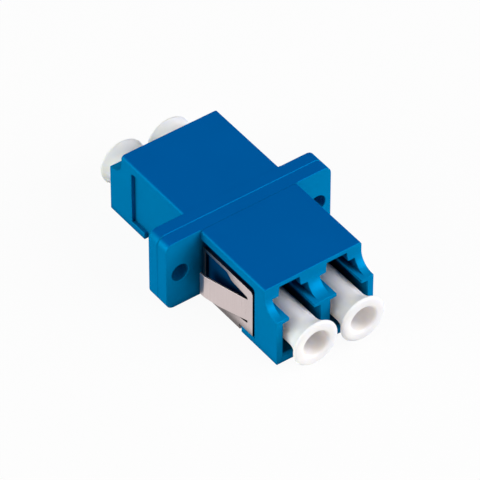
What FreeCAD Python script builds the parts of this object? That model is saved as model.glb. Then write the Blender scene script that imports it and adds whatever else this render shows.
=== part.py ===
"""Duplex fibre optic adapter with a screw flange, a spring panel clip and four dust caps.

Millimetres. X runs across the two ports, +Y to the rear and +Z up. The origin is on the flat underside,
in the middle of the width and on the weld seam in the middle of the flange.
"""
import FreeCAD, Part
import math
import os

V = FreeCAD.Vector

# Ports, from the underside up to the roof
port_pitch = 6.25
port_w = 4.6
port_h = 4.6
side_wall = 1.0
floor_t = 1.1
rib_t = 0.5
rib_reach = 0.65
lug_h = 1.3
catch_h = 1.2
roof_t = 0.6
slot_w = 2.6
slot_flare = 0.15
catch_len = 2.4
pocket_back = 4.0
mouth_lead = 0.25

# Ends, seen from the side
upper_len = 13.1
sweep_r = 1.9
ledge_flat = 0.3

# Outside edges of the body
top_edge_r = 0.4
under_edge_r = 0.15

# Flange
flange_t = 3.2
flange_step = 0.05
flange_corner_r = 1.05
flange_hole_d = 2.2
flange_hole_pitch = 18.3
flange_ear = 1.85
seam_chamfer = 0.08

# Ferrule channel: barrel, split sleeve and the lip that keeps the sleeve in
web_t = 1.6
ferrule_d = 1.25
sleeve_t = 0.22
sleeve_len = 6.6
sleeve_slit = 0.3
sleeve_clearance = 0.02
sleeve_play = 0.1
ferrule_clearance = 0.16
lip_t = 0.9
lip_lead = 0.15
barrel_t = 0.56

# Side recesses for the clip
recess_end = 11.3
recess_depth = 0.5
recess_corner_r = 0.4
rim_h = 1.25
keeper_h = 0.9
keeper_len = 2.35

# Panel clip, folded from one strip
clip_t = 0.22
clip_inset = 0.03
strap_inset = 0.03
clip_bend_r = 0.08
clip_ease = 0.05
clip_flange_gap = 0.4
clip_end_gap = 0.37
clip_top_gap = 0.85
clip_corner = 0.3
strap_gap = 0.45
window_rear = 0.4
window_rim = 0.4
window_high_len = 3.95
window_step_len = 0.85
window_step_h = 0.65
window_front = 0.9
slit_w = 0.35

# Tongue of the clip
tongue_low = 1.9
tongue_rise = 0.6
tongue_knee_len = 4.1
tongue_root_h = 3.05
tongue_tip_h = 3.05
tongue_flare = 1.22
tongue_flat = 0.65
tongue_tip_gap = 1.5
tongue_bend_r = 0.6

# Dust caps
cap_clearance = 0.05
cap_wall = 0.5
cap_head_d = 5.9
cap_head_edge = 0.25
cap_flare_r = 3.2
cap_stand_out = 2.65
cap_hole_d = 3.2
cap_hole_depth = 4.5
cap_hole_edge = 0.18
cap_web = 0.8
cap_lead = 0.2

# Levels and lengths that follow
body_w = port_pitch + port_w + 2 * side_wall
axis_z = floor_t + port_h / 2
rib_z = floor_t + port_h
ledge_z = rib_z + rib_t
catch_z = ledge_z + lug_h
roof_z = catch_z + catch_h
body_h = roof_z + roof_t
lower_len = upper_len + sweep_r + ledge_flat
flange_w = flange_hole_pitch + 2 * flange_ear
flange_half = flange_t / 2
flange_h = body_h + flange_step
sleeve_d = ferrule_d + 2 * sleeve_t
sleeve_bore_d = sleeve_d + 2 * sleeve_clearance
sleeve_seat = sleeve_len / 2 + sleeve_play
lip_bore_d = ferrule_d + 2 * ferrule_clearance
barrel_len = sleeve_seat + lip_t
barrel_d = sleeve_bore_d + 2 * barrel_t
recess_top = body_h - rim_h
groove_depth = clip_t + strap_inset
keeper_start = recess_end - keeper_len
clip_outer = body_w / 2 - clip_inset
clip_inner = clip_outer - clip_t
clip_top = recess_top - clip_top_gap
clip_rear = -flange_half - clip_flange_gap
clip_front = -recess_end + clip_end_gap
strap_front = -keeper_start + strap_gap
tongue_root = clip_front + window_front
tongue_root_low = tongue_low + tongue_rise
tongue_root_high = tongue_root_low + tongue_root_h
tongue_knee = tongue_root + tongue_knee_len
tongue_tip = -flange_half - tongue_tip_gap
overrun = 1.0


def box(x0, x1, y0, y1, z0, z1):
    """Block between two opposite corners."""
    return Part.makeBox(x1 - x0, y1 - y0, z1 - z0, V(x0, y0, z0))


def polygon_prism(points, along):
    """Closed polygon swept along a vector."""
    return Part.Face(Part.makePolygon(points + points[:1])).extrude(along)


def rod(d, x, y0, y1, z):
    """Round bar along the ports."""
    return Part.makeCylinder(d / 2, y1 - y0, V(x, y0, z), V(0, 1, 0))


def rounded_bar(width, length, z0, z1, r_low, r_high=0):
    """Bar from the seam to the front with rounded long edges."""
    bar = box(-width / 2, width / 2, -length, 0, z0, z1)
    for r, z in ((r_low, z0), (r_high, z1)):
        if r > 0:
            bar = bar.makeFillet(r, [e for e in bar.Edges if long_edge_at(e, z)])
    return bar


def long_edge_at(edge, z):
    """True for a straight edge along the ports at one height."""
    a, b = (v.Point for v in edge.Vertexes[:2])
    return abs(a.y - b.y) > 0.5 * edge.Length and abs(a.z - z) < 1e-6 and abs(b.z - z) < 1e-6


def body_outline():
    """Side view of a half body: its upper end stands back above a swept ledge."""
    arc_centre = V(0, -upper_len - sweep_r, ledge_z + sweep_r)
    arc_low = arc_centre + V(0, 0, -sweep_r)
    arc_mid = arc_centre + V(0, 1, -1).normalize() * sweep_r
    arc_high = arc_centre + V(0, sweep_r, 0)
    corners = [
        arc_high,
        V(0, -upper_len, body_h),
        V(0, -flange_half, body_h),
        V(0, -flange_half, 0),
        V(0, -lower_len, 0),
        V(0, -lower_len, ledge_z),
        arc_low,
    ]
    sweep = Part.Arc(arc_low, arc_mid, arc_high).toShape()
    side = Part.Face(Part.Wire([sweep, *Part.makePolygon(corners).Edges]))
    side.translate(V(-body_w / 2, 0, 0))
    return side.extrude(V(body_w, 0, 0))


def flange_half_plate():
    """Half of the flange, with rounded corners, two screw holes and a bevelled weld seam."""
    plate = box(-flange_w / 2, flange_w / 2, -flange_half, 0, 0, flange_h)
    plate = plate.makeFillet(flange_corner_r, [e for e in plate.Edges if e.Length < flange_half + 1e-6])
    on_seam = [e for e in plate.Edges if abs(e.CenterOfMass.y) < 1e-6]
    plate = plate.makeChamfer(seam_chamfer, on_seam)
    for side in (-1, 1):
        x = side * flange_hole_pitch / 2
        plate = plate.cut(rod(flange_hole_d, x, -flange_t, overrun, flange_h / 2))
    return plate


def port_cavity(x):
    """One port: square plug space, slot between two guide ribs, lug space and the latch slot."""
    half = port_w / 2
    neck = half - rib_reach
    slot = slot_w / 2
    right = [
        (half, floor_t),
        (half, rib_z),
        (neck, rib_z),
        (neck, ledge_z),
        (half, ledge_z),
        (half, catch_z),
        (slot + slot_flare, catch_z),
        (slot, roof_z),
    ]
    left = [(-px, pz) for px, pz in reversed(right)]
    mouth_y = -lower_len - overrun
    section = [V(x + px, mouth_y, pz) for px, pz in right + left]
    cavity = polygon_prism(section, V(0, -web_t - mouth_y, 0))
    pocket_front = -upper_len + catch_len
    pocket = box(x - half, x + half, pocket_front, -web_t - pocket_back, catch_z, roof_z)
    return cavity.fuse([pocket, mouth_lead_in(x)])


def mouth_lead_in(x):
    """Sloping lead-in round the plug space at the port's mouth."""
    rings = []
    for y, grow in ((-lower_len + mouth_lead, 0), (-lower_len - mouth_lead, 2 * mouth_lead)):
        half = port_w / 2 + grow
        low = floor_t - grow
        corners = [(x - half, low), (x + half, low), (x + half, rib_z), (x - half, rib_z)]
        points = [V(px, y, pz) for px, pz in corners]
        rings.append(Part.makePolygon(points + points[:1]))
    return Part.makeLoft(rings, True, True)


def ferrule_bore(x):
    """Sleeve seat from the seam, then the narrower lip bore with a flared mouth."""
    seat = rod(sleeve_bore_d, x, -sleeve_seat, overrun, axis_z)
    lip = rod(lip_bore_d, x, -barrel_len - overrun, 0, axis_z)
    flare = Part.makeCone(
        lip_bore_d / 2 + 2 * lip_lead,
        lip_bore_d / 2,
        2 * lip_lead,
        V(x, -barrel_len - lip_lead, axis_z),
        V(0, 1, 0),
    )
    return seat.fuse([lip, flare])


def clip_seat():
    """Recess in both side walls and groove under the body, round the core that the clip hugs."""
    near = -flange_half
    far = -recess_end
    corners = [
        V(-body_w, near, -overrun),
        V(-body_w, near, recess_top),
        V(-body_w, far, recess_top),
        V(-body_w, far, keeper_h),
        V(-body_w, -keeper_start, keeper_h),
        V(-body_w, -keeper_start, -overrun),
    ]
    room = polygon_prism(corners, V(2 * body_w, 0, 0))
    upper_corner = [e for e in room.Edges if crosswise_at(e, far, recess_top)]
    room = room.makeFillet(recess_corner_r, upper_corner)
    core_w = body_w - 2 * recess_depth
    core = rounded_bar(core_w, lower_len, groove_depth, body_h, clip_bend_r + clip_ease)
    return room.cut(core)


def crosswise_at(edge, y, z):
    """True for an edge along X at one place in the side view."""
    centre = edge.CenterOfMass
    return abs(centre.y - y) < 1e-6 and abs(centre.z - z) < 1e-6


def front_half():
    """One moulded half: body, half flange, two ports, two barrels and the clip's seat."""
    section = rounded_bar(body_w, lower_len, 0, body_h, under_edge_r, top_edge_r)
    shell = body_outline().common(section).fuse(flange_half_plate())
    ports = (-port_pitch / 2, port_pitch / 2)
    shell = shell.cut([port_cavity(x) for x in ports])
    shell = shell.fuse([rod(barrel_d, x, -barrel_len, -web_t / 2, axis_z) for x in ports])
    shell = shell.cut([ferrule_bore(x) for x in ports] + [clip_seat()])
    return shell.removeSplitter()


def alignment_sleeve(x):
    """Split tube that lines up the two ferrules of one channel."""
    half = sleeve_len / 2
    tube = rod(sleeve_d, x, -half, half, axis_z).cut(rod(ferrule_d, x, -half, half, axis_z))
    slit = box(x - sleeve_slit / 2, x + sleeve_slit / 2, -half, half, axis_z, axis_z + sleeve_d)
    return tube.cut(slit)


def panel_clip():
    """Strap under the body with a windowed plate up each side and a flared tongue on each plate."""
    strip = rounded_bar(2 * clip_outer, -clip_front, strap_inset, clip_top, clip_bend_r + clip_t)
    hollow = rounded_bar(2 * clip_inner, -clip_front, groove_depth, body_h, clip_bend_r)
    strip = strip.cut(hollow)
    beside_flange = box(-body_w, body_w, clip_rear, overrun, -overrun, body_h)
    over_keeper = box(-body_w, body_w, clip_front - overrun, strap_front, -overrun, keeper_h)
    corner = [
        V(-body_w, clip_front, clip_top - clip_corner),
        V(-body_w, clip_front, clip_top),
        V(-body_w, clip_front + clip_corner, clip_top),
    ]
    trim = polygon_prism(corner, V(2 * body_w, 0, 0))
    strip = strip.cut([beside_flange, over_keeper, clip_window(), trim])
    return strip.fuse([side_tongue(-1), side_tongue(1)]).removeSplitter()


def clip_window():
    """Opening that the tongue is lanced from, higher at the flange end."""
    low = tongue_root_low - slit_w
    high = tongue_root_high + slit_w
    top = clip_top - window_rim
    rear = clip_rear - window_rear
    step = rear - window_high_len
    outline = [
        (rear, tongue_low - slit_w),
        (rear, top),
        (step, top),
        (step - window_step_len, top - window_step_h),
        (tongue_root, high),
        (tongue_root, low),
        (tongue_knee, tongue_low - slit_w),
    ]
    window = polygon_prism([V(-body_w, y, z) for y, z in outline], V(2 * body_w, 0, 0))
    slit_ends = [e for z in (low, high) for e in window.Edges if crosswise_at(e, tongue_root, z)]
    return window.makeFillet(slit_w / 2, slit_ends)


def side_tongue(side):
    """Tongue of one side plate: root bend, straight flare, bend back and a flat tip."""
    run = tongue_tip - tongue_flat - tongue_root
    rise = body_w / 2 + tongue_flare - clip_outer
    r = tongue_bend_r
    straight = math.sqrt(rise * rise - 4 * r * rise + run * run)
    turn = math.atan2(rise - 2 * r, run) + math.atan2(2 * r, straight)
    root_x = clip_outer - clip_t / 2

    def at(along, out):
        return V(side * (root_x + out), tongue_root + along, 0)

    def bend(angle):
        return r * math.sin(angle), r * (1 - math.cos(angle))

    start = at(-clip_t, 0)
    root = at(0, 0)
    flare_mid, flare_start = (at(*bend(angle)) for angle in (turn / 2, turn))
    back_mid, flare_end = (at(run - a, rise - o) for a, o in map(bend, (turn / 2, turn)))
    flat_start = at(run, rise)
    tip = at(run + tongue_flat, rise)
    path = Part.Wire([
        Part.makeLine(start, root),
        Part.Arc(root, flare_mid, flare_start).toShape(),
        Part.makeLine(flare_start, flare_end),
        Part.Arc(flare_end, back_mid, flat_start).toShape(),
        Part.makeLine(flat_start, tip),
    ])
    inside = start - V(clip_t / 2, 0, 0)
    outside = start + V(clip_t / 2, 0, 0)
    up = V(0, 0, body_h)
    section = Part.makePolygon([inside, outside, outside + up, inside + up, inside])
    band = path.makePipeShell([section], True, False)
    outline = [
        V(0, start.y, tongue_root_low),
        V(0, start.y, tongue_root_high),
        V(0, root.y, tongue_root_high),
        V(0, flat_start.y, tongue_low + tongue_tip_h),
        V(0, tip.y, tongue_low + tongue_tip_h),
        V(0, tip.y, tongue_low),
        V(0, tongue_knee, tongue_low),
        V(0, root.y, tongue_root_low),
    ]
    return band.common(polygon_prism(outline, V(side * flange_w, 0, 0)))


def dust_cap(x, end):
    """Round cap seated on the web: hollow shank over the barrel, flared head, blind hole outside.

    The flare's arc is turned as three straight runs, which keeps the facets few.
    """
    hole_r = cap_hole_d / 2
    head_r = cap_head_d / 2
    bore_r = barrel_d / 2 + cap_clearance
    shank_r = bore_r + cap_wall
    face = lower_len + cap_stand_out
    length = face - web_t
    flare = head_r - shank_r
    flare_len = math.sqrt(2 * cap_flare_r * flare - flare * flare)
    flare_turn = math.atan2(flare_len, cap_flare_r - flare)

    def at(r, depth):
        return V(x + r, end * (face - depth), axis_z)

    def on_flare(turn):
        depth = cap_head_edge + flare_len - cap_flare_r * math.sin(turn)
        return at(shank_r + cap_flare_r * (1 - math.cos(turn)), depth)

    profile = [
        at(0, cap_hole_depth),
        at(hole_r, cap_hole_depth),
        at(hole_r, cap_hole_edge),
        at(hole_r + cap_hole_edge, 0),
        at(head_r - cap_head_edge, 0),
        *[on_flare(flare_turn * thirds / 3) for thirds in (3, 2, 1, 0)],
        at(shank_r, length - cap_lead),
        at(shank_r - cap_lead / 2, length),
        at(bore_r, length),
        at(bore_r, cap_hole_depth + cap_web),
        at(0, cap_hole_depth + cap_web),
    ]
    section = Part.Face(Part.makePolygon(profile + profile[:1]))
    return section.revolve(V(x, 0, axis_z), V(0, 1, 0), 360)


front = front_half()
rear = front.copy()
rear.rotate(V(0, 0, 0), V(0, 0, 1), 180)
pieces = {"front_housing": front, "rear_housing": rear, "panel_clip": panel_clip()}
for name, x in (("left", -port_pitch / 2), ("right", port_pitch / 2)):
    pieces["sleeve_" + name] = alignment_sleeve(x)
    pieces["dust_cap_front_" + name] = dust_cap(x, -1)
    pieces["dust_cap_rear_" + name] = dust_cap(x, 1)

os.makedirs("parts", exist_ok=True)
for name, shape in pieces.items():
    shape.exportStep("parts/" + name + ".step")
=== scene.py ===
import math

import bmesh
import bpy
from mathutils import Matrix, Vector


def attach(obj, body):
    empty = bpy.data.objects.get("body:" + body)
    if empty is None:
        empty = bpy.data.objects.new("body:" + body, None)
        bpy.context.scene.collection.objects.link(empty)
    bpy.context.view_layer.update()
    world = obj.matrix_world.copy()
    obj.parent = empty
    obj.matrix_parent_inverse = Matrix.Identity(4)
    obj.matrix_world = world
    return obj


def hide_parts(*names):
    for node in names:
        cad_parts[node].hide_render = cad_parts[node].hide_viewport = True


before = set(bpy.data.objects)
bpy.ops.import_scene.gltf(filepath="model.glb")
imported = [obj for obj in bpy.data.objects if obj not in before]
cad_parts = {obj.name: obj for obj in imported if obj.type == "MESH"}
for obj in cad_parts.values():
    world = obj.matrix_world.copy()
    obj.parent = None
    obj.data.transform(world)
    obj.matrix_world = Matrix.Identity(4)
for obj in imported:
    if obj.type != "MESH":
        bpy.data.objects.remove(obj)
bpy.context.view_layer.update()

# The housing: two like halves, injection-moulded in blue PBT and welded together in the middle of the
# flange. The mould leaves a satin skin, slightly rounded edges and a faint drift of colour along the flow.
# Sizes are in millimetres here and below, unless a comment says metres.
MM = 0.001


def linear(hex_colour):
    """Linear RGBA of an sRGB hex colour."""
    channels = [int(hex_colour[i:i + 2], 16) / 255 for i in (1, 3, 5)]
    return [c / 12.92 if c <= 0.04045 else ((c + 0.055) / 1.055) ** 2.4 for c in channels] + [1.0]


def new_material(name):
    """Empty material with its node tree."""
    material = bpy.data.materials.new(name)
    material.use_nodes = True
    material.node_tree.nodes.clear()
    return material


def add_node(tree, kind, inputs, **settings):
    """Node with its settings; an input takes a value, or a socket to link."""
    node = tree.nodes.new(kind)
    for name, value in settings.items():
        setattr(node, name, value)
    for name, value in inputs.items():
        if isinstance(value, bpy.types.NodeSocket):
            tree.links.new(value, node.inputs[name])
        else:
            node.inputs[name].default_value = value
    return node


def with_painted_shade(tree, colour, hidden, clear, darkest):
    """Colour with painted shade: full where the open sky's share is clear, falling to darkest where it is
    hidden.
    """
    reach = 2
    sky = add_node(tree, "ShaderNodeAmbientOcclusion", {"Distance": reach * MM}, samples=8)
    light = add_node(tree, "ShaderNodeMapRange", {
        "Value": sky.outputs["AO"],
        "From Min": hidden,
        "From Max": clear,
        "To Min": darkest,
        "To Max": 1.0,
    })
    mixed = add_node(tree, "ShaderNodeMix", {
        "Factor": light.outputs["Result"],
        "A": (0.0, 0.0, 0.0, 1.0),
        "B": colour,
    }, data_type="RGBA")
    return mixed.outputs["Result"]


def coat(piece, material):
    """Give a piece this one material."""
    piece.data.materials.clear()
    piece.data.materials.append(material)


# Moulded PBT: a deep even blue with a soft sheen. The eye sees dull tops, brighter walls and a thin light
# line along each edge; the dull tops and brighter walls are painted light and shade in the blue below.
# The sheen keeps the plastic's own blue, so it is given as a little metal.
flow_patch = 6
pbt = new_material("moulded_blue_pbt")
nodes = pbt.node_tree
place = add_node(nodes, "ShaderNodeTexCoord", {})
flow = add_node(nodes, "ShaderNodeTexNoise", {
    "Vector": place.outputs["Object"],
    "Scale": 1 / (flow_patch * MM),
    "Detail": 2.0,
})
# Painted light and shade: the roof is painted a deeper blue and the ends a paler blue than the sides, since
# the roof looks deepest and the ends look palest; the blue follows a face's height and the way it points.
roof_from, roof_full = 8.9, 9.25
slope_from, slope_full = 0.45, 0.9
at = add_node(nodes, "ShaderNodeSeparateXYZ", {"Vector": place.outputs["Object"]})
facing = add_node(nodes, "ShaderNodeSeparateXYZ", {"Vector": place.outputs["Normal"]})
at_top = add_node(nodes, "ShaderNodeMapRange", {
    "Value": at.outputs["Z"],
    "From Min": roof_from * MM,
    "From Max": roof_full * MM,
})
upward = add_node(nodes, "ShaderNodeMapRange", {
    "Value": facing.outputs["Z"],
    "From Min": slope_from,
    "From Max": slope_full,
})
roof = add_node(nodes, "ShaderNodeMath", {
    0: at_top.outputs["Result"],
    1: upward.outputs["Result"],
}, operation="MULTIPLY")
side = add_node(nodes, "ShaderNodeMath", {
    0: facing.outputs["X"],
    1: facing.outputs["X"],
}, operation="MULTIPLY")
painted_light_blues = {
    "end": ("#007bb2", "#0081b8"),
    "side": ("#0072a8", "#0078ae"),
    "roof": ("#00589e", "#005ca4"),
}
blues = {}
for wall, (deep, pale) in painted_light_blues.items():
    drift = add_node(nodes, "ShaderNodeMix", {
        "Factor": flow.outputs["Fac"],
        "A": linear(deep),
        "B": linear(pale),
    }, data_type="RGBA")
    blues[wall] = drift.outputs["Result"]
wall_blue = add_node(nodes, "ShaderNodeMix", {
    "Factor": side.outputs["Value"],
    "A": blues["end"],
    "B": blues["side"],
}, data_type="RGBA")
body_blue = add_node(nodes, "ShaderNodeMix", {
    "Factor": roof.outputs["Value"],
    "A": wall_blue.outputs["Result"],
    "B": blues["roof"],
}, data_type="RGBA")
# Painted shade: the floor of the clip's recess lies in the clip's shade, so it is painted navy.
recess_x, recess_skin, recess_shade_share = 5.925, 0.05, 0.78
off_middle = add_node(nodes, "ShaderNodeMath", {0: at.outputs["X"]}, operation="ABSOLUTE")
on_floor = add_node(nodes, "ShaderNodeMath", {
    0: off_middle.outputs["Value"],
    1: recess_x * MM,
    2: recess_skin * MM,
}, operation="COMPARE")
in_front = add_node(nodes, "ShaderNodeMath", {0: at.outputs["Y"], 1: 0.0}, operation="LESS_THAN")
recess = add_node(nodes, "ShaderNodeMath", {
    0: on_floor.outputs["Value"],
    1: in_front.outputs["Value"],
}, operation="MULTIPLY")
recess_floor = add_node(nodes, "ShaderNodeMath", {
    0: recess.outputs["Value"],
    1: side.outputs["Value"],
}, operation="MULTIPLY")
recess_shade = add_node(nodes, "ShaderNodeMath", {
    0: recess_floor.outputs["Value"],
    1: recess_shade_share,
}, operation="MULTIPLY")
blue = add_node(nodes, "ShaderNodeMix", {
    "Factor": recess_shade.outputs["Value"],
    "A": body_blue.outputs["Result"],
    "B": linear("#001a4c"),
}, data_type="RGBA")
satin = add_node(nodes, "ShaderNodeMapRange", {
    "Value": flow.outputs["Fac"],
    "To Min": 0.42,
    "To Max": 0.50,
})
# The spark-eroded grain of the mould is about 0.03 mm; it is drawn at 0.15 mm so that it shows.
grain_size, grain_depth = 0.15, 0.01
grain = add_node(nodes, "ShaderNodeTexNoise", {
    "Vector": place.outputs["Object"],
    "Scale": 1 / (grain_size * MM),
    "Detail": 1.0,
})
skin = add_node(nodes, "ShaderNodeBump", {
    "Height": grain.outputs["Fac"],
    "Strength": 0.15,
    "Distance": grain_depth * MM,
})
# Painted shade: little light comes back out of a corner or a port in so deep a blue, so they are painted
# darker, almost navy.
plastic = add_node(nodes, "ShaderNodeBsdfPrincipled", {
    "Base Color": with_painted_shade(nodes, blue.outputs["Result"], hidden=0.2, clear=0.75, darkest=0.35),
    "Metallic": 0.22,
    "Roughness": satin.outputs["Result"],
    "IOR": 1.5,
    "Specular IOR Level": 0.0,
    "Specular Tint": linear("#00a0d8"),
    "Normal": skin.outputs["Normal"],
})
add_node(nodes, "ShaderNodeOutputMaterial", {"Surface": plastic.outputs["BSDF"]})
# The mould's small radius: the outward edges of the half are rounded, apart from the weld seam, the sleeve
# barrels, the low step between flange and roof, and the thin ends of the swept ledges.
edge_r, weld_gap, touch = 0.07, 0.0005, 0.01
half_width, side_skin = 6.425, 0.1
seam_y, flange_y, sweep_end = 0.2, 1.6, 13.3
roof_z, above_roof, ledge_top = 9.3, 0.02, 6.5
port_x, port_z, barrel_reach = 3.125, 3.4, 1.6
flat_angle, edge_angle, smooth_angle = math.radians(1), math.radians(30), math.radians(35)
level = 0.999
# The flange's top and front are cut just outside the body's walls: between the cuts the low step stays
# sharp, and beyond them the flange's edges are rounded.
step_cut, step_reach = 1.02 * half_width, 1.03 * half_width
bpy.ops.object.select_all(action="DESELECT")
front_half = bpy.data.objects.new("housing_front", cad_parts["front_housing"].data.copy())
bpy.context.scene.collection.objects.link(front_half)
front_half.select_set(True)
bpy.context.view_layer.objects.active = front_half
bpy.ops.object.mode_set(mode="EDIT")
bpy.ops.mesh.select_all(action="SELECT")
bpy.ops.mesh.remove_doubles(threshold=weld_gap * MM)
bpy.ops.mesh.dissolve_limited(angle_limit=flat_angle)
for cut_x in (-step_cut, step_cut):
    bpy.ops.mesh.select_all(action="DESELECT")
    bpy.ops.mesh.select_mode(type="FACE")
    for face in bmesh.from_edit_mesh(front_half.data).faces:
        on_top = all(corner.co.z > roof_z * MM for corner in face.verts)
        on_front = all(abs(corner.co.y / MM + flange_y) < touch for corner in face.verts)
        face.select_set(on_top or on_front)
    bmesh.update_edit_mesh(front_half.data)
    bpy.ops.mesh.bisect(plane_co=(cut_x * MM, 0, 0), plane_no=(1, 0, 0))
bpy.ops.mesh.select_all(action="DESELECT")
bpy.ops.mesh.select_mode(type="EDGE")
for edge in bmesh.from_edit_mesh(front_half.data).edges:
    ends = [corner.co / MM for corner in edge.verts]
    seam = all(abs(end.y) < seam_y for end in ends)
    barrel = all(math.hypot(abs(end.x) - port_x, end.z - port_z) < barrel_reach for end in ends)
    on_step = all(abs(end.y + flange_y) < touch and end.z > roof_z for end in ends)
    low_step = on_step and all(abs(end.x) < step_reach for end in ends)
    on_ledge = all(end.z < ledge_top and end.y < -sweep_end for end in ends)
    along_port = abs(ends[0].x - ends[1].x) < touch
    thin_end = on_ledge and along_port and abs(ends[0].x) < half_width - side_skin
    if edge.is_convex and edge.calc_face_angle() > edge_angle:
        edge.select_set(not (seam or barrel or low_step or thin_end))
bmesh.update_edit_mesh(front_half.data)
bpy.ops.mesh.bevel(offset=edge_r * MM, segments=3, affect="EDGES", clamp_overlap=False)
bpy.ops.mesh.select_all(action="SELECT")
bpy.ops.mesh.normals_make_consistent(inside=False)
bpy.ops.object.mode_set(mode="OBJECT")
bpy.ops.object.shade_smooth_by_angle(angle=smooth_angle)
for face in front_half.data.polygons:
    if face.normal.z > level and face.center.z > (roof_z + above_roof) * MM:
        face.use_smooth = False
even = front_half.modifiers.new("even_faces", "WEIGHTED_NORMAL")
even.keep_sharp = True
bpy.ops.object.modifier_apply(modifier=even.name)
coat(front_half, pbt)
bpy.ops.object.duplicate()
rear_half = bpy.context.object
rear_half.name = "housing_rear"
bpy.ops.object.mode_set(mode="EDIT")
bpy.ops.mesh.select_all(action="SELECT")
bpy.ops.transform.rotate(value=math.pi, orient_axis="Z", center_override=(0, 0, 0))
bpy.ops.object.mode_set(mode="OBJECT")
for piece, name in ((front_half, "front_housing"), (rear_half, "rear_housing")):
    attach(piece, "adapter")
    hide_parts(name)
    coat(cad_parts[name], pbt)

# The two alignment sleeves: thin split tubes of zirconia, trapped in the barrels between the halves.
# Grinding leaves an ivory ceramic with a bright, slightly uneven polish. Only their bores can show, at the
# bottom of an open port.
grinding_size = 0.2
zirconia = new_material("ground_zirconia")
nodes = zirconia.node_tree
place = add_node(nodes, "ShaderNodeTexCoord", {})
grinding = add_node(nodes, "ShaderNodeTexNoise", {
    "Vector": place.outputs["Object"],
    "Scale": 1 / (grinding_size * MM),
})
polish = add_node(nodes, "ShaderNodeMapRange", {
    "Value": grinding.outputs["Fac"],
    "To Min": 0.12,
    "To Max": 0.22,
})
ivory = add_node(nodes, "ShaderNodeMix", {
    "Factor": grinding.outputs["Fac"],
    "A": linear("#eeebe2"),
    "B": linear("#f4f3ee"),
}, data_type="RGBA")
ceramic = add_node(nodes, "ShaderNodeBsdfPrincipled", {
    "Base Color": ivory.outputs["Result"],
    "Roughness": polish.outputs["Result"],
    "IOR": 2.15,
})
add_node(nodes, "ShaderNodeOutputMaterial", {"Surface": ceramic.outputs["BSDF"]})
for name in ("sleeve_left", "sleeve_right"):
    coat(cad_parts[name], zirconia)

# The panel clip: one strip of 0.22 mm spring steel, stamped, lanced and folded round the front half.
# Rolling leaves fine lines up the side plates, and the sheared edges catch the light.
# Real lines are a few hundredths of a millimetre apart; they are drawn 0.12 mm apart so that they show.
line_gap, line_stretch, sheared_r = 0.12, 0.04, 0.05
spring_steel = new_material("rolled_spring_steel")
nodes = spring_steel.node_tree
place = add_node(nodes, "ShaderNodeTexCoord", {})
along = add_node(nodes, "ShaderNodeMapping", {
    "Vector": place.outputs["Object"],
    "Scale": (1.0, 1.0, line_stretch),
})
lines = add_node(nodes, "ShaderNodeTexNoise", {
    "Vector": along.outputs["Vector"],
    "Scale": 1 / (line_gap * MM),
    "Detail": 2.0,
})
steel_colour = add_node(nodes, "ShaderNodeMix", {
    "Factor": lines.outputs["Fac"],
    "A": linear("#c8b9b8"),
    "B": linear("#d6c8c7"),
}, data_type="RGBA")
brushed = add_node(nodes, "ShaderNodeMapRange", {
    "Value": lines.outputs["Fac"],
    "To Min": 0.24,
    "To Max": 0.36,
})
sheared = add_node(nodes, "ShaderNodeBevel", {"Radius": sheared_r * MM}, samples=6)
# Painted shade: the steel is painted darker where nearby parts hide the sky, as on the strip under the
# tongue.
steel = add_node(nodes, "ShaderNodeBsdfPrincipled", {
    "Base Color": with_painted_shade(nodes, steel_colour.outputs["Result"], hidden=0.74, clear=0.98, darkest=0.2),
    "Metallic": 1.0,
    "Roughness": brushed.outputs["Result"],
    "Normal": sheared.outputs["Normal"],
})
add_node(nodes, "ShaderNodeOutputMaterial", {"Surface": steel.outputs["BSDF"]})
coat(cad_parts["panel_clip"], spring_steel)

# The four dust caps: soft white polyethylene, moulded hollow, pushed into the ports over the barrels.
# The plastic lets a little light through, so shaded parts stay warm and no edge is hard.
cloud_size, light_depth = 2.5, 1.3
polyethylene = new_material("moulded_white_polyethylene")
nodes = polyethylene.node_tree
place = add_node(nodes, "ShaderNodeTexCoord", {})
cloud = add_node(nodes, "ShaderNodeTexNoise", {
    "Vector": place.outputs["Object"],
    "Scale": 1 / (cloud_size * MM),
    "Detail": 2.0,
})
milky = add_node(nodes, "ShaderNodeMix", {
    "Factor": cloud.outputs["Fac"],
    "A": linear("#f8f0ed"),
    "B": linear("#fcf5f2"),
}, data_type="RGBA")
waxy = add_node(nodes, "ShaderNodeMapRange", {
    "Value": cloud.outputs["Fac"],
    "To Min": 0.42,
    "To Max": 0.52,
})
wax = add_node(nodes, "ShaderNodeBsdfPrincipled", {
    "Base Color": milky.outputs["Result"],
    "Roughness": waxy.outputs["Result"],
    "IOR": 1.51,
    "Subsurface Weight": 1.0,
    "Subsurface Radius": (1.0, 0.9, 0.72),
    "Subsurface Scale": light_depth * MM,
})
add_node(nodes, "ShaderNodeOutputMaterial", {"Surface": wax.outputs["BSDF"]})
# Section of a cap, as radius and depth behind the end face: from the bottom of the blind hole, over the
# flared head and along the shank, to the roof of the hollow that fits over the barrel.
cap_x, cap_y, cap_z = -3.125, -17.95, 3.4
length, hole_r, hole_depth, hole_edge = 16.35, 1.6, 4.5, 0.18
head_r, rim, flare_r, flare_steps = 2.95, 0.25, 3.2, 16
shank_r, lead, bore_r, bore_depth = 1.975, 0.2, 1.475, 5.3
hole_round, rim_round, merge_gap, turn_steps = 0.1, 0.15, 0.001, 96
flare = math.sqrt(2 * flare_r * (head_r - shank_r) - (head_r - shank_r) ** 2)
section = [
    (0, hole_depth),
    (hole_r, hole_depth),
    (hole_r, hole_edge),
    (hole_r + hole_edge, 0),
    (head_r - rim, 0),
]
for step in range(flare_steps, -1, -1):
    left = flare * step / flare_steps
    section.append((shank_r + flare_r - math.sqrt(flare_r ** 2 - left ** 2), rim + flare - left))
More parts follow.
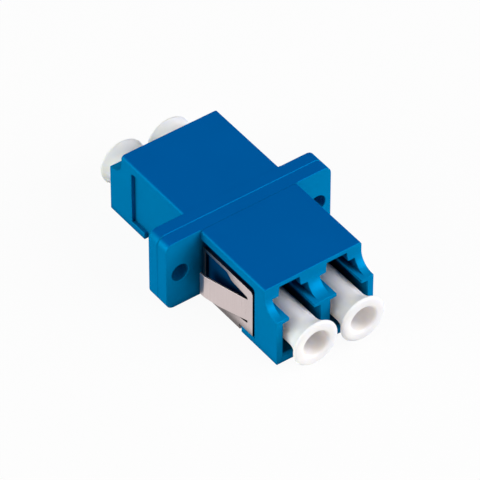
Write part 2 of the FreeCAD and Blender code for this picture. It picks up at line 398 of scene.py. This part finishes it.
section += [
    (shank_r, length - lead),
    (shank_r - lead / 2, length),
    (bore_r, length),
    (bore_r, bore_depth),
    (0, bore_depth),
]
bpy.ops.object.select_all(action="DESELECT")
bpy.ops.mesh.primitive_plane_add(size=MM)
cap = bpy.context.object
bpy.ops.object.mode_set(mode="EDIT")
bpy.ops.mesh.select_mode(type="VERT")
bpy.ops.mesh.merge(type="CENTER")
bpy.ops.transform.translate(value=(cap_x * MM, (cap_y + hole_depth) * MM, cap_z * MM))
for (r, depth), (next_r, next_depth) in zip(section, section[1:]):
    move = ((next_r - r) * MM, (next_depth - depth) * MM, 0)
    bpy.ops.mesh.extrude_vertices_move(TRANSFORM_OT_translate={"value": move})
bpy.ops.mesh.select_all(action="SELECT")
bpy.ops.mesh.spin(
    steps=turn_steps,
    angle=2 * math.pi,
    center=(cap_x * MM, 0, cap_z * MM),
    axis=(0, 1, 0),
)
bpy.ops.mesh.select_all(action="SELECT")
bpy.ops.mesh.remove_doubles(threshold=merge_gap * MM)
bpy.ops.mesh.normals_make_consistent(inside=False)
bpy.ops.mesh.select_mode(type="EDGE")
hole_rings = [(hole_r, hole_edge), (hole_r + hole_edge, 0)]
rim_rings = [(head_r - rim, 0), (head_r, rim)]
for rings, width in ((hole_rings, hole_round), (rim_rings, rim_round)):
    bpy.ops.mesh.select_all(action="DESELECT")
    bpy.ops.object.mode_set(mode="OBJECT")
    for edge in cap.data.edges:
        ends = [cap.data.vertices[i].co / MM - Vector((cap_x, cap_y, cap_z)) for i in edge.vertices]
        edge.select = any(
            all(abs(math.hypot(end.x, end.z) - r) + abs(end.y - depth) < touch for end in ends)
            for r, depth in rings
        )
    bpy.ops.object.mode_set(mode="EDIT")
    bpy.ops.mesh.bevel(offset=width * MM, segments=4, affect="EDGES")
bpy.ops.object.mode_set(mode="OBJECT")
bpy.ops.object.shade_smooth_by_angle(angle=smooth_angle)
coat(cap, polyethylene)
# Each copy is shifted across to its channel and, for the rear, turned half a turn about the upright axis.
across = -2 * cap_x
copies = {
    "front_left": (0, 0),
    "front_right": (across, 0),
    "rear_right": (0, 180),
    "rear_left": (across, 180),
}
for name, (shift, turn) in copies.items():
    bpy.ops.object.select_all(action="DESELECT")
    cap.select_set(True)
    bpy.context.view_layer.objects.active = cap
    bpy.ops.object.duplicate()
    piece = bpy.context.object
    piece.name = "cap_" + name
    bpy.ops.object.mode_set(mode="EDIT")
    bpy.ops.mesh.select_all(action="SELECT")
    bpy.ops.transform.translate(value=(shift * MM, 0, 0))
    bpy.ops.transform.rotate(value=math.radians(turn), orient_axis="Z", center_override=(0, 0, 0))
    bpy.ops.object.mode_set(mode="OBJECT")
    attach(piece, "cap_" + name)
    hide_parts("dust_cap_" + name)
    coat(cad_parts["dust_cap_" + name], polyethylene)
bpy.data.objects.remove(cap)

# The table: a plain sheet of white paper that the adapter lies on, a hair below the underside.
# To the camera and in reflections it is nearly white, and it keeps the adapter's shadow.
fibre_size, table_gap, white_share = 3, 0.02, 0.94
table_width = 4.0  # metres


def seen_directly(tree):
    """Socket that is 1 for the camera, in reflections and through clear things, and 0 for other light."""
    ray = add_node(tree, "ShaderNodeLightPath", {})
    seen = add_node(tree, "ShaderNodeMath", {
        0: ray.outputs["Is Camera Ray"],
        1: ray.outputs["Is Glossy Ray"],
    }, operation="ADD")
    shown = add_node(tree, "ShaderNodeMath", {
        0: seen.outputs["Value"],
        1: ray.outputs["Is Transmission Ray"],
    }, operation="ADD")
    return shown.outputs["Value"]


white_sheet = new_material("white_paper_sheet")
nodes = white_sheet.node_tree
place = add_node(nodes, "ShaderNodeTexCoord", {})
fibre = add_node(nodes, "ShaderNodeTexNoise", {
    "Vector": place.outputs["Object"],
    "Scale": 1 / (fibre_size * MM),
})
paper_colour = add_node(nodes, "ShaderNodeMix", {
    "Factor": fibre.outputs["Fac"],
    "A": linear("#e4e4e3"),
    "B": linear("#e8e8e7"),
}, data_type="RGBA")
paper = add_node(nodes, "ShaderNodeBsdfDiffuse", {"Color": paper_colour.outputs["Result"]})
glow = add_node(nodes, "ShaderNodeEmission", {"Color": (1.0, 1.0, 1.0, 1.0), "Strength": 1.0})
share = add_node(nodes, "ShaderNodeMath", {0: seen_directly(nodes), 1: white_share}, operation="MULTIPLY")
sheet = add_node(nodes, "ShaderNodeMixShader", {
    "Fac": share.outputs["Value"],
    1: paper.outputs["BSDF"],
    2: glow.outputs["Emission"],
})
add_node(nodes, "ShaderNodeOutputMaterial", {"Surface": sheet.outputs["Shader"]})
bpy.ops.object.select_all(action="DESELECT")
bpy.ops.mesh.primitive_plane_add(size=table_width, location=(0, 0, -table_gap * MM))
floor = bpy.context.object
floor.name = "floor"
coat(floor, white_sheet)

# The light: a large soft box in front to the right, one on the left from a little behind, and two weak
# ones, low on the right and overhead. Their size and distance are in metres.
box_size, box_distance = 0.40, 0.5
lamps = {
    "right_box": {"from": (0.52, -0.67, 0.53), "watts": 2.42, "colour": "#fffcff"},
    "left_box": {"from": (-0.91, 0.22, 0.34), "watts": 2.45, "colour": "#fbfff8"},
    "side_box": {"from": (0.92, -0.34, 0.21), "watts": 0.9, "colour": "#ffffff"},
    "top_box": {"from": (0.0, -0.10, 0.99), "watts": 0.3, "colour": "#f4f8ff"},
}
for name, lamp in lamps.items():
    light = bpy.data.lights.new(name, "AREA")
    light.energy = lamp["watts"]
    light.size = box_size
    light.color = linear(lamp["colour"])[:3]
    holder = bpy.data.objects.new(name, light)
    aim = Vector(lamp["from"]).normalized()
    holder.location = aim * box_distance
    holder.rotation_euler = aim.to_track_quat("Z", "Y").to_euler()
    bpy.context.scene.collection.objects.link(holder)

# The room: pale walls that add a little cool light. To the camera and in reflections they are white.
wall_light = 0.03
room = bpy.data.worlds.new("white_room")
room.use_nodes = True
nodes = room.node_tree
nodes.nodes.clear()
walls = add_node(nodes, "ShaderNodeBackground", {"Color": linear("#e4ecff"), "Strength": wall_light})
backdrop = add_node(nodes, "ShaderNodeBackground", {"Color": (1.0, 1.0, 1.0, 1.0), "Strength": 1.0})
surround = add_node(nodes, "ShaderNodeMixShader", {
    "Fac": seen_directly(nodes),
    1: walls.outputs["Background"],
    2: backdrop.outputs["Background"],
})
add_node(nodes, "ShaderNodeOutputWorld", {"Surface": surround.outputs["Shader"]})
bpy.context.scene.world = room
bpy.context.scene.view_settings.view_transform = "Standard"

# The camera: a long lens from the front left and above, with the framing of the photograph.
# It looks at the middle of the adapter's height, moved a little left and down to place it in the frame.
azimuth, elevation = math.radians(-36.15), math.radians(43.08)
aim_z, move_left, move_down = 4.614, 0.0407, 1.0548
distance = 0.5562  # metres
right = Vector((math.cos(azimuth), math.sin(azimuth), 0))
back = Vector((
    math.sin(azimuth) * math.cos(elevation),
    -math.cos(azimuth) * math.cos(elevation),
    math.sin(elevation),
))
up = back.cross(right)
lens = bpy.data.cameras.new("camera")
lens.sensor_width = 36.0
lens.lens = 386.6
lens.clip_start = 0.01
camera = bpy.data.objects.new("camera", lens)
stand = Vector((0, 0, aim_z * MM)) + back * distance - right * move_left * MM - up * move_down * MM
camera.matrix_world = Matrix.Translation(stand) @ Matrix((right, up, back)).transposed().to_4x4()
bpy.context.scene.collection.objects.link(camera)
bpy.context.scene.camera = camera
